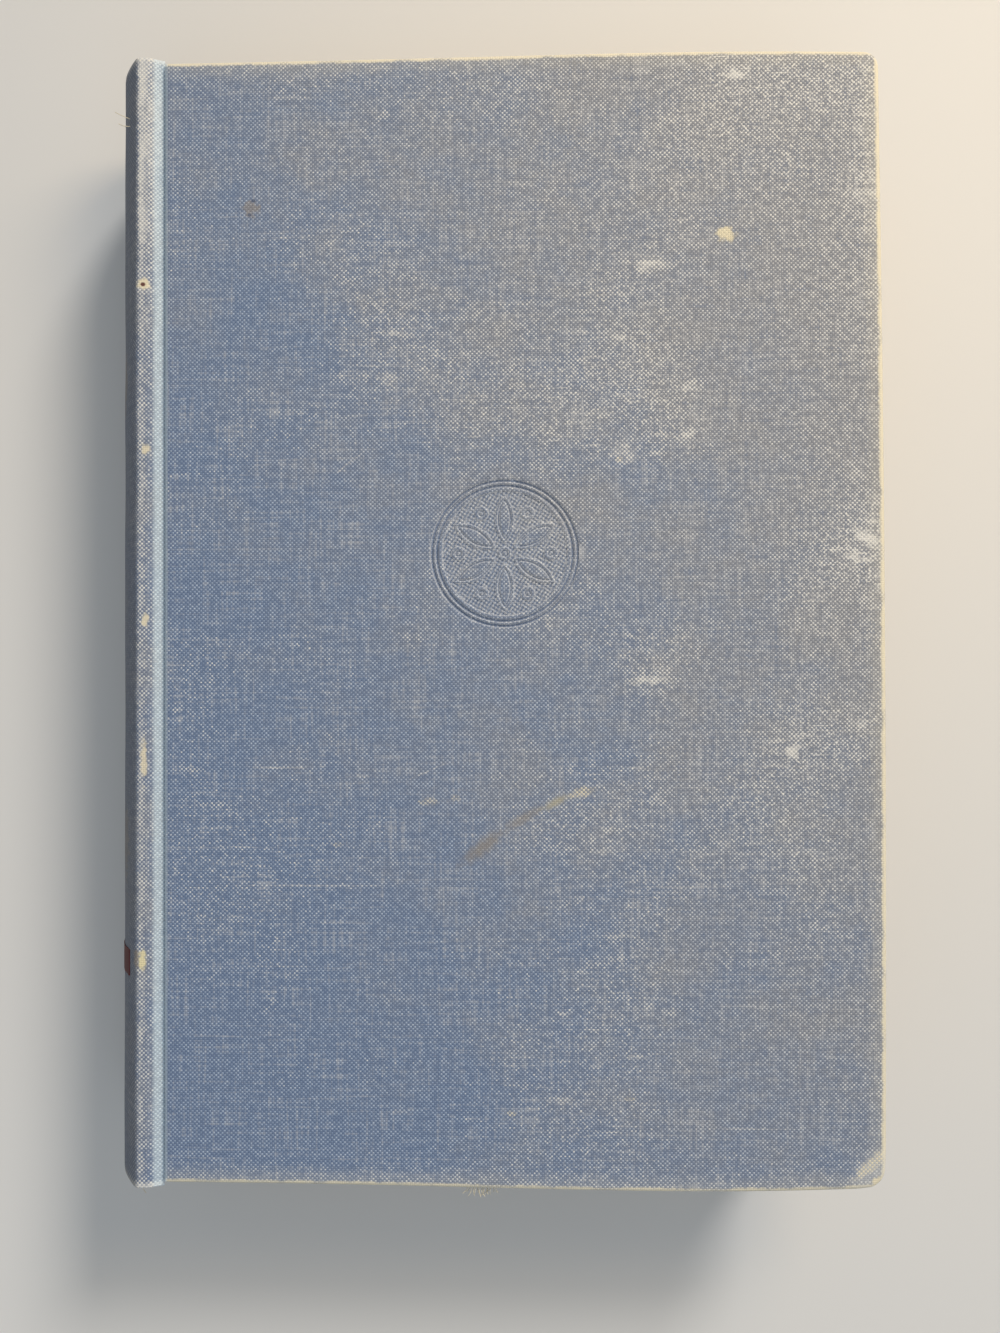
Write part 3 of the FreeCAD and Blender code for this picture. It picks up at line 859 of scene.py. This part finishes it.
def front_marks(cloth):
    """The marks of this copy, each placed from the joint and from the head, in millimetres."""
    spots = (
        (106.6, 34.4, 2.0, 1.7, 8, spot_cream, 0.72, 0.5),
        (106.7, 34.3, 1.8, 1.5, 8, worn_cream, 0.85, 0.6),
        (16.9, 28.6, 1.6, 1.9, 20, soil_brown, 0.45, 0.9),
        (17.2, 26.9, 0.5, 0.4, 0, between_threads, 0.9, 0.5),
        (16.5, 29.6, 0.4, 0.4, 0, between_threads, 0.8, 0.5),
        (87.5, 75.4, 3.1, 2.8, 30, worn_cotton, 0.7, 0.7),
        (86.4, 76.6, 0.9, 0.7, 20, worn_cream, 0.5, 0.6),
        (79.0, 139.3, 2.9, 1.1, 12, worn_cream, 0.85, 0.4),
        (43.0, 61.2, 2.6, 1.5, 0, worn_cotton, 0.6, 0.8),
        (51.0, 61.0, 2.6, 0.9, 4, worn_cotton, 0.4, 0.9),
        (75.0, 60.2, 4.8, 0.9, 6, worn_cotton, 0.45, 0.9),
        (35.0, 38.6, 2.2, 1.1, 0, worn_cotton, 0.4, 0.9),
        (91.7, 39.5, 4.4, 1.3, 0, worn_cotton, 0.4, 0.9),
        (50.0, 141.0, 2.1, 0.9, 0, worn_cream, 0.5, 0.8),
        (55.2, 140.4, 1.0, 0.8, 0, worn_cream, 0.5, 0.8),
        (33.0, 149.0, 1.2, 0.8, 0, worn_cream, 0.4, 0.8),
        (84.5, 150.2, 3.0, 0.9, 10, worn_cotton, 0.45, 0.9),
        (106.0, 149.0, 1.3, 1.1, 0, worn_cotton, 0.5, 0.9),
        (66.0, 199.5, 1.3, 0.7, 0, worn_cream, 0.6, 0.8),
        (75.0, 197.0, 2.6, 0.7, 0, worn_cotton, 0.5, 0.9),
        (44.5, 199.2, 1.6, 0.6, 0, worn_cotton, 0.4, 0.9),
        (88.0, 196.6, 1.4, 0.5, 0, worn_cream, 0.5, 0.8),
        (82.0, 190.2, 1.6, 0.8, 0, worn_cotton, 0.5, 0.9),
    )
    for x, y, half_width, half_height, turn, colour, strength, ragged in spots:
        mark(cloth, from_joint(x), from_head(y), half_width, half_height, turn, colour, strength, ragged,
             on_crowns=colour in (worn_cotton, worn_cream) and strength < 0.9)
    stain = (
        (60.4, 149.6, 6.4, 2.0, 38, stain_brown, 0.62),
        (68.2, 144.1, 5.6, 1.3, 32, stain_brown, 0.48),
        (74.2, 141.1, 3.8, 1.1, 27, stain_yellow, 0.60),
    )
    for x, y, half_width, half_height, turn, colour, strength in stain:
        mark(cloth, from_joint(x), from_head(y), half_width, half_height, turn, colour, strength, 0.3,
             core=0.1)
    threads = (
        (17.8, 134.6, 28.4, 134.6, 0.85),
        (100.0, 128.0, 121.0, 128.0, 0.45),
        (105.0, 134.4, 134.0, 134.4, 0.5),
        (11.0, 156.8, 43.6, 156.8, 0.55),
        (27.6, 163.8, 36.0, 163.8, 0.5),
        (86.0, 157.0, 105.0, 157.0, 0.45),
        (86.0, 150.8, 134.0, 150.8, 0.4),
        (101.0, 201.9, 121.0, 201.9, 0.6),
        (60.0, 88.4, 92.0, 88.4, 0.3),
        (32.7, 79.2, 38.0, 75.0, 0.6),
        (44.6, 137.7, 54.9, 133.3, 0.45),
        (15.0, 172.0, 30.0, 172.0, 0.35),
    )
    for x0, y0, x1, y1, strength in threads:
        turn = math.degrees(math.atan2(y0 - y1, x1 - x0))
        length = math.hypot(x1 - x0, y1 - y0) / 2
        mark(cloth, from_joint((x0 + x1) / 2), from_head((y0 + y1) / 2), length, 0.24, turn, worn_cotton,
             strength, 0.5, on_crowns=True)


def finish_cloth(cloth):
    cloth["tree"].links.new(cloth["colour"], cloth["shader"].inputs["Base Color"])
    return cloth["material"]


def front_cloth_material():
    # The second number sets the front's paling towards head and fore edge: part sun fading, part painted light.
    cloth = book_cloth("front book cloth", 0.0026)
    cover_wear(cloth, (cover_low.z + cover_high.z) * 500)
    tree = cloth["tree"]
    stamped = tree.nodes.new("ShaderNodeAttribute")
    stamped.attribute_name = "pressed"
    pressed = stamped.outputs["Fac"]
    # Paler on the shoulders beside the stamped lines and darker down in them: the heated die's darkening and rubbed
    # ridges, partly also painted highlight and painted shade of the relief.
    falling = spread(tree, pressed, 0.3, 0.6, 1.0, 0.0)
    shoulder = calc(tree, "MINIMUM", spread(tree, pressed, 0.02, 0.2), falling)
    cloth["colour"] = shade(tree, calc(tree, "MULTIPLY", shoulder, 0.45), cloth["colour"], crown_faded)
    cloth["colour"] = shade(tree, spread(tree, pressed, 0.4, 1.1, 0.0, 0.5), cloth["colour"], dye_deep)
    # Painted light, with some rub: the board's edge at the joint is made pale to lift the shade of the groove.
    at_joint = calc(tree, "SUBTRACT", cloth["x"], joint_x * 1000)
    cloth["colour"] = shade(tree, spread(tree, at_joint, 0.2, 1.0, 0.75, 0.0), cloth["colour"], groove_rub_and_painted_light)
    front_marks(cloth)
    corner_x = cover_high.x * 1000
    corner_y = -cover_high.y * 1000
    mark(cloth, corner_x - 2.0, corner_y + 3.4, 6.5, 4.2, 41, worn_cotton, 0.30, 0.2, core=0.1)
    mark(cloth, corner_x - 3.0, corner_y + 4.7, 4.6, 1.5, 42, worn_cotton, 0.28, 0.35, core=0.2)
    mark(cloth, corner_x - 3.0, corner_y + 4.7, 4.6, 1.4, 42, worn_cream, 0.95, 0.45, True)
    mark(cloth, corner_x - 1.2, corner_y + 1.2, 1.7, 1.4, 0, worn_cream, 0.9, 0.6)
    return finish_cloth(cloth)


front_cloth = model_cover_cloth("front_cover_cloth", True)
front_cloth.data.materials.append(front_cloth_material())
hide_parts("front_cloth")

# The back cover's cloth: the same case, folded over the back board and into the joint below. It
# is plain, without the front's paling towards head and fore edge, which is part sun fading and part
# painted light, and rubbed at its edges and corners from standing on a shelf.


def back_cloth_material():
    cloth = book_cloth("back book cloth")
    cover_wear(cloth, (cover_high.z - cover_low.z) * 500)
    return finish_cloth(cloth)


plain_cloth = model_cover_cloth("plain_cover_cloth", False)
back_cloth = mirrored_copy(plain_cloth, "back_cover_cloth")
bpy.data.objects.remove(plain_cloth)
back_cloth.data.materials.append(back_cloth_material())
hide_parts("back_cloth")
for sheet, cover in ((front_cloth, "front_cover"), (back_cloth, "back_cover")):
    keep_rest_place(sheet)
    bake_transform(sheet)

# The spine's cloth: the middle strip of the case's cloth, from one joint groove round the hollow
# back to the other, turned in over the inlay at the head and tail, which rolls it into two caps.
# It slopes from each crest down to the board's edge. Crests and caps are rubbed to white cotton.
spine_low, spine_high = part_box("spine_cloth")
spine_radius = back_centre - spine_low.x
crest_top = cover_high.z - 0.0001
crest_inner_round = 0.0008
crest_outer_round = 0.0012
groove_lean = 68
lip_x = joint_x - 0.00015
roll_back = 0.00065
roll_joint = 0.00036
turned_in = 0.004
body_rows = 170
roll_rows = 12
tuck_rows = 4
spine_waver = 0.00012
# Painted shade: the dark colour laid over the spine's outer round, which faces away from the light.
spine_painted_shade = (0.075, 0.080, 0.090)


def quarter_round(centre_x, centre_z, radius, start, end, steps):
    points = []
    for step in range(steps + 1):
        turn = math.radians(start + (end - start) * step / steps)
        points.append((centre_x + radius * math.cos(turn), centre_z + radius * math.sin(turn)))
    return points


def spine_profile():
    """The cloth's outer line in the XZ plane, from its lip in the upper groove to the lower one."""
    inner_z = crest_top - crest_inner_round
    rise = inner_z + crest_inner_round * math.sin(math.radians(25)) - foot_z
    inner_x = foot_x - rise / shoulder_slope - crest_inner_round * math.cos(math.radians(25))
    outer_z = crest_top - crest_outer_round
    outer_x = back_centre - math.sqrt((spine_radius - crest_outer_round) ** 2 - (outer_z - middle) ** 2)
    crest_angle = math.degrees(math.atan2(outer_z - middle, back_centre - outer_x))
    inner = quarter_round(inner_x, inner_z, crest_inner_round, groove_lean, 90, 6)
    outer = quarter_round(outer_x, outer_z, crest_outer_round, 90, 180 - crest_angle, 7)
    back = quarter_round(back_centre, middle, spine_radius, 180 - crest_angle, 180, 30)
    top_x, top_z = inner[0]
    lip_z = top_z - (lip_x - top_x) / math.tan(math.radians(groove_lean))
    slope = [(lip_x + (top_x - lip_x) * step / 10, lip_z + (top_z - lip_z) * step / 10)
             for step in range(10)]
    flat = [(inner_x + (outer_x - inner_x) * step / 3, crest_top) for step in (1, 2)]
    upper = slope + inner + flat + outer + back[1:]
    return upper + [(x, 2 * middle - z) for x, z in reversed(upper[:-1])]


profile = spine_profile()
profile_reach = [0.0]
for before, after in zip(profile, profile[1:]):
    profile_reach.append(profile_reach[-1] + math.dist(before, after))
half_sheet = spine_high.y - roll_back + math.pi * roll_back + turned_in


def profile_normal(place):
    before = profile[max(place - 1, 0)]
    after = profile[min(place + 1, len(profile) - 1)]
    x, z = after[1] - before[1], before[0] - after[0]
    return x / math.hypot(x, z), z / math.hypot(x, z)


def row_reach(row):
    """How far along the flat sheet a row of vertices lies: close together where the cloth rolls in."""
    side = abs(row - half_rows)
    roll_start = spine_high.y - roll_back
    if side <= body_rows / 2:
        reach = roll_start * side / (body_rows / 2)
    elif side <= body_rows / 2 + roll_rows:
        reach = roll_start + math.pi * roll_back * (side - body_rows / 2) / roll_rows
    else:
        reach = half_sheet - turned_in * (1 - (side - body_rows / 2 - roll_rows) / tuck_rows)
    return math.copysign(reach, row - half_rows)


half_rows = body_rows // 2 + roll_rows + tuck_rows


def roll_in(reach, place):
    """Place along Y, and depth below the profile, of cloth that is turned in over the end."""
    on_back = eased(abs(profile[place][1] - middle), crest_top - middle, crest_top - middle - 0.0035)
    roll = roll_joint + (roll_back - roll_joint) * on_back
    rolled = abs(reach) - (spine_high.y - roll)
    if rolled <= 0:
        return reach, 0.0
    if rolled < math.pi * roll:
        return (math.copysign(spine_high.y - roll + roll * math.sin(rolled / roll), reach),
                roll * (1 - math.cos(rolled / roll)))
    return math.copysign(spine_high.y - roll - (rolled - math.pi * roll), reach), 2 * roll


def model_spine_cloth():
    columns = len(profile) - 1
    sheet = flat_grid("spine_cloth_sheet", columns, 2 * half_rows, (0, 0), (columns, 2 * half_rows), 0)
    unrolled = {}
    mesh = bmesh.from_edit_mesh(sheet.data)
    for vert in mesh.verts:
        place = round(vert.co.x)
        reach = row_reach(round(vert.co.y))
        y, depth = roll_in(reach, place)
        normal_x, normal_z = profile_normal(place)
        free = math.sin(math.pi * place / columns) ** 0.5 * min(1.0, (half_rows - abs(reach) / half_sheet) * 8)
        depth += spine_waver * free * noise.noise(Vector((profile_reach[place] * 160, reach * 60, 1.0)))
        vert.co = (profile[place][0] - normal_x * depth, y, profile[place][1] - normal_z * depth)
    bmesh.update_edit_mesh(sheet.data)
    bpy.ops.object.mode_set(mode="OBJECT")
    lay_weave(sheet)
    layer = sheet.data.uv_layers["cloth"]
    for loop in sheet.data.loops:
        row, place = divmod(loop.vertex_index, columns + 1)
        layer.data[loop.index].uv = (profile_reach[place] * 1000, row_reach(row) * 1000)
    solid = sheet.modifiers.new("cloth", "SOLIDIFY")
    solid.thickness = cloth_thick * 0.9
    solid.offset = 1
    apply_modifiers(sheet)
    bpy.ops.object.mode_set(mode="EDIT")
    done(50)
    return sheet


def spine_cloth_material():
    """Darkened over its outer round by painted shade, rubbed white along both crests and over the caps."""
    cloth = book_cloth("spine book cloth")
    tree, place = cloth["tree"], cloth["place"]
    cloth["grain"] = clouds(tree, place, 0.9, 4.0)
    parts = tree.nodes.new("ShaderNodeSeparateXYZ")
    tree.links.new(place, parts.inputs[0])
    rough = calc(tree, "MULTIPLY_ADD", cloth["grain"], 1.2, -0.6)
    from_middle = calc(tree, "ABSOLUTE", calc(tree, "SUBTRACT", parts.outputs["Z"], middle * 1000))
    from_crest = calc(tree, "SUBTRACT", (crest_top - middle) * 1000, from_middle)
    broken = clouds(tree, place, 0.25, 4.0, (1.0, 0.5, 1.0), 0.65)
    rubbed = spread(tree, calc(tree, "ADD", from_crest, rough), 0.2, 2.6, 0.92, 0.0)
    rubbed = calc(tree, "MULTIPLY", rubbed, spread(tree, broken, 0.34, 0.60, 0.80, 1.0))
    beside = calc(tree, "ADD", cloth["x"], rough)
    rubbed = calc(tree, "MULTIPLY", rubbed, spread(tree, beside, -67.4, -66.2, 0.30, 1.0))
    kept_dye = calc(tree, "MULTIPLY", spread(tree, beside, -65.8, -64.6),
                    spread(tree, parts.outputs["Y"], 30.0, 95.0, 0.40, 0.10))
    rubbed = calc(tree, "MULTIPLY", rubbed, calc(tree, "SUBTRACT", 1.0, kept_dye))
    rubbed = calc(tree, "MULTIPLY", rubbed, spread(tree, parts.outputs["Y"], 30.0, 95.0, 0.74, 1.0))
    near = spread(tree, from_crest, 0.0, 6.0, 0.32, 0.0)
    from_cap = calc(tree, "SUBTRACT", spine_high.y * 1000, calc(tree, "ABSOLUTE", parts.outputs["Y"]))
    caps = spread(tree, calc(tree, "ADD", from_cap, rough), 0.4, 2.6, 0.95, 0.0)
    wear = calc(tree, "MAXIMUM", calc(tree, "MAXIMUM", rubbed, near), caps)
    wear = calc(tree, "MAXIMUM", wear, calc(tree, "MULTIPLY", scuffing(cloth), 0.8))
    wear_down(cloth, wear)
    wear_down(cloth, spread(tree, wear, 0.75, 1.1, 0.0, 0.5), worn_cream)
    # Painted shade: the spine's outer round is darkened towards its far side, as if turned away from the light.
    round_painted_shade = spread(tree, beside, -67.6, -66.0, 0.58, 0.0)
    cloth["colour"] = shade(tree, round_painted_shade, cloth["colour"], spine_painted_shade)
    # Painted highlight, with some rub: the slope down into the groove is made pale as if lit.
    slope = spread(tree, cloth["x"], -64.2, -63.3)
    slope = calc(tree, "MULTIPLY", slope, spread(tree, cloth["crown"], 0.1, 0.7, 0.45, 0.85))
    cloth["colour"] = shade(tree, slope, cloth["colour"], groove_rub_and_painted_light)
    spine_marks(cloth)
    return finish_cloth(cloth)


def spine_marks(cloth):
    crest_x = -65.6
    spots = (
        (crest_x, 42.5, 1.5, 1.3, 0, worn_cream, 0.95, 0.4),
        (crest_x - 0.1, 42.6, 0.55, 0.45, 0, (0.10, 0.02, 0.02), 0.95, 0.4),
        (crest_x + 0.4, 74.0, 0.9, 1.2, 0, worn_cream, 0.8, 0.6),
        (crest_x + 0.4, 106.4, 0.8, 1.4, 0, worn_cream, 0.8, 0.6),
        (crest_x + 0.2, 133.0, 0.8, 4.5, 0, worn_cream, 0.75, 0.7),
        (crest_x - 1.3, 171.0, 0.9, 2.4, 0, soil_brown, 0.5, 0.6),
        (crest_x - 0.1, 170.9, 1.0, 2.0, 0, spot_yellow, 0.9, 0.6),
        (-71.5, 60.0, 1.6, 7.0, 0, soil_brown, 0.4, 0.8),
        (-71.0, 150.0, 1.8, 9.0, 0, soil_brown, 0.35, 0.8),
    )
    for x, y, half_width, half_height, turn, colour, strength, ragged in spots:
        mark(cloth, x, from_head(y), half_width, half_height, turn, colour, strength, ragged)


spine_cloth = model_spine_cloth()
keep_rest_place(spine_cloth)
spine_cloth.data.materials.append(spine_cloth_material())
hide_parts("spine_cloth")
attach(spine_cloth, "book_block")

# The patch on the spine: what is left of a strip of dark red lacquered paper, pasted across the
# round of the cloth near the tail. Its ends are torn and its surface is rubbed.
label_low, label_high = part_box("spine_label")
label_angle = math.asin((label_high.z - middle) / spine_radius)
label_lift = 0.00007
label_red = (0.075, 0.006, 0.007)
label_rubbed = (0.12, 0.020, 0.016)


def model_patch():
    patch = flat_grid("label_patch", 90, 12, (-1, label_low.y), (1, label_high.y), 0)
    half_height = (label_high.y - label_low.y) / 2
    centre = (label_high.y + label_low.y) / 2
    mesh = bmesh.from_edit_mesh(patch.data)
    for vert in mesh.verts:
        share, y, _ = vert.co
        ragged = 0.03 * noise.noise(Vector((y * 900, math.copysign(5, share), 2.0)))
        y += 0.0003 * noise.noise(Vector((share * 14, math.copysign(3, y - centre), 8.0))) * (y - centre) / half_height
        turn = label_angle * share * (1 - abs(ragged))
        radius = spine_radius + label_lift
        vert.co = (back_centre - radius * math.cos(turn), y, middle + radius * math.sin(turn))
    bmesh.update_edit_mesh(patch.data)
    bpy.ops.object.mode_set(mode="OBJECT")
    solid = patch.modifiers.new("paper", "SOLIDIFY")
    solid.thickness = 0.00014
    solid.offset = 0
    apply_modifiers(patch)
    bpy.ops.object.mode_set(mode="EDIT")
    done(40)
    return patch


def lacquered_paper():
    material, tree, shader, place = new_material("red patch")
    rubbed = spread(tree, clouds(tree, place, 0.5, 5.0, (1.0, 1.0, 1.0), 0.7), 0.5, 0.75)
    tree.links.new(shade(tree, rubbed, label_red, label_rubbed), shader.inputs["Base Color"])
    shader.inputs["Roughness"].default_value = 0.6
    shader.inputs["Specular IOR Level"].default_value = 0.2
    bump(tree, shader, rubbed, 0.3, 0.00008)
    return material


label_patch = model_patch()
label_patch.data.materials.append(lacquered_paper())
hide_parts("spine_label")
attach(label_patch, "book_block")

# Loose threads: ends of the cloth's cotton yarn that wear has pulled out, a tuft under the tail
# edge of the front cover and single ends at the spine's side and tail.
yarn_radius = 0.00007
cotton_pale = (0.56, 0.52, 0.43)


def pull_thread(name, points):
    """One yarn end as a thin tube along these points."""
    curve = bpy.data.curves.new(name, "CURVE")
    curve.dimensions = "3D"
    curve.bevel_depth = yarn_radius
    curve.bevel_resolution = 2
    curve.resolution_u = 6
    line = curve.splines.new("BEZIER")
    line.bezier_points.add(len(points) - 1)
    for knot, spot in zip(line.bezier_points, points):
        knot.co = spot
        knot.handle_left_type = "AUTO"
        knot.handle_right_type = "AUTO"
    thread = bpy.data.objects.new(name, curve)
    bpy.context.scene.collection.objects.link(thread)
    return thread


def tie_tuft(name, threads):
    """Joins yarn ends into one mesh."""
    deselect()
    for thread in threads:
        thread.select_set(True)
    bpy.context.view_layer.objects.active = threads[0]
    bpy.ops.object.convert(target="MESH")
    if len(threads) > 1:
        bpy.ops.object.join()
    tuft = bpy.context.object
    tuft.name = name
    bpy.ops.object.shade_smooth()
    return tuft


def cotton_yarn():
    material, tree, shader, place = new_material("loose yarn")
    tone = clouds(tree, place, 1.5, 2.0)
    tree.links.new(shade(tree, tone, cotton_pale, worn_cream), shader.inputs["Base Color"])
    shader.inputs["Roughness"].default_value = 0.9
    return material


def model_tail_tuft():
    chance = np.random.RandomState(9)
    threads = []
    for number in range(16):
        start = -0.0042 + 0.0052 * number / 15
        lean = chance.uniform(-0.0010, 0.0010)
        reach = chance.uniform(0.0006, 0.0019)
        edge = -cover_high.y - tail_swell * 0.62
        z = chance.uniform(cover_high.z - 0.0016, cover_high.z - 0.0006)
        threads.append(pull_thread("yarn", [
            (start, edge + 0.0006, z),
            (start + lean * 0.3, edge - reach * 0.5, z + chance.uniform(-0.0002, 0.0003)),
            (start + lean, edge - reach, z - chance.uniform(0.0, 0.0006)),
        ]))
    return tie_tuft("tail_tuft", threads)


yarn = cotton_yarn()
tail_tuft = model_tail_tuft()
spine_threads = tie_tuft("spine_threads", [
    pull_thread("yarn", [(-0.0693, 0.0972, 0.0301), (-0.0708, 0.0977, 0.0306), (-0.0722, 0.0986, 0.0301)]),
    pull_thread("yarn", [(-0.0690, 0.0957, 0.0302), (-0.0702, 0.0956, 0.0306), (-0.0714, 0.0962, 0.0303)]),
    pull_thread("yarn", [(-0.0655, -0.1068, 0.0324), (-0.0659, -0.1080, 0.0318), (-0.0657, -0.1092, 0.0310)]),
])
for tuft, body in ((tail_tuft, "front_cover"), (spine_threads, "book_block")):
    tuft.data.materials.append(yarn)
    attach(tuft, body)

# The floor that the book lies on: plain and pale, and not part of the book. From below it isn't
# seen, so that the book's underside can be.
floor_pale = (0.72, 0.715, 0.70)


def floor_material():
    material, tree, shader, place = new_material("pale floor")
    shader.inputs["Base Color"].default_value = (*floor_pale, 1.0)
    shader.inputs["Roughness"].default_value = 0.9
    shader.inputs["Specular IOR Level"].default_value = 0.1
    clear = tree.nodes.new("ShaderNodeBsdfTransparent")
    seen = tree.nodes.new("ShaderNodeMixShader")
    below = tree.nodes.new("ShaderNodeNewGeometry").outputs["Backfacing"]
    output = [node for node in tree.nodes if node.type == "OUTPUT_MATERIAL"][0]
    tree.links.new(below, seen.inputs["Fac"])
    tree.links.new(shader.outputs[0], seen.inputs[1])
    tree.links.new(clear.outputs[0], seen.inputs[2])
    tree.links.new(seen.outputs[0], output.inputs[0])
    return material


deselect()
bpy.ops.mesh.primitive_plane_add(size=4, location=(0, 0, 0))
floor = bpy.context.object
floor.name = "floor"
floor.data.materials.append(floor_material())

# The light: soft studio light. A wide, low, even one from beyond the head shows the relief, a small
# warm lamp stands to the right of the head, a weak cool one at the tail, and the surround is even.
world = bpy.data.worlds.new("studio")
bpy.context.scene.world = world
world.use_nodes = True
world.node_tree.nodes["Background"].inputs["Color"].default_value = (0.92, 0.96, 1.0, 1.0)
world.node_tree.nodes["Background"].inputs["Strength"].default_value = 0.34


def soft_lamp(name, place, size, power, colour):
    bpy.ops.object.light_add(type="AREA", location=place)
    lamp = bpy.context.object
    lamp.name = name
    lamp.data.shape = "SQUARE"
    lamp.data.size = size
    lamp.data.energy = power
    lamp.data.color = colour
    lamp.rotation_euler = Vector(place).to_track_quat("Z", "Y").to_euler()
    return lamp


bpy.ops.object.light_add(type="SUN", location=(0.36, 0.60, 0.40))
low_light = bpy.context.object
low_light.name = "low_light"
low_light.data.energy = 1.75
low_light.data.angle = math.radians(14)
low_light.data.color = (1.0, 0.96, 0.91)
low_light.rotation_euler = Vector((0.36, 0.60, 0.40)).to_track_quat("Z", "Y").to_euler()
soft_lamp("warm_lamp", (0.20, 0.22, 0.30), 0.16, 0.74, (1.0, 0.79, 0.52))
soft_lamp("fill", (0.10, -0.45, 0.70), 0.60, 1.0, (0.80, 0.90, 1.0))

# The camera: where the photo was taken from, almost straight above the front cover.
bpy.ops.object.camera_add(location=(0.00627, -0.01106, 0.22108),
                          rotation=(math.radians(0.589), math.radians(1.256), math.radians(-0.176)))
camera = bpy.context.object
camera.data.sensor_width = 36
camera.data.lens = 27.0
camera.data.clip_start = 0.01
camera.data.clip_end = 10
bpy.context.scene.camera = camera
bpy.context.scene.view_settings.view_transform = "Standard"
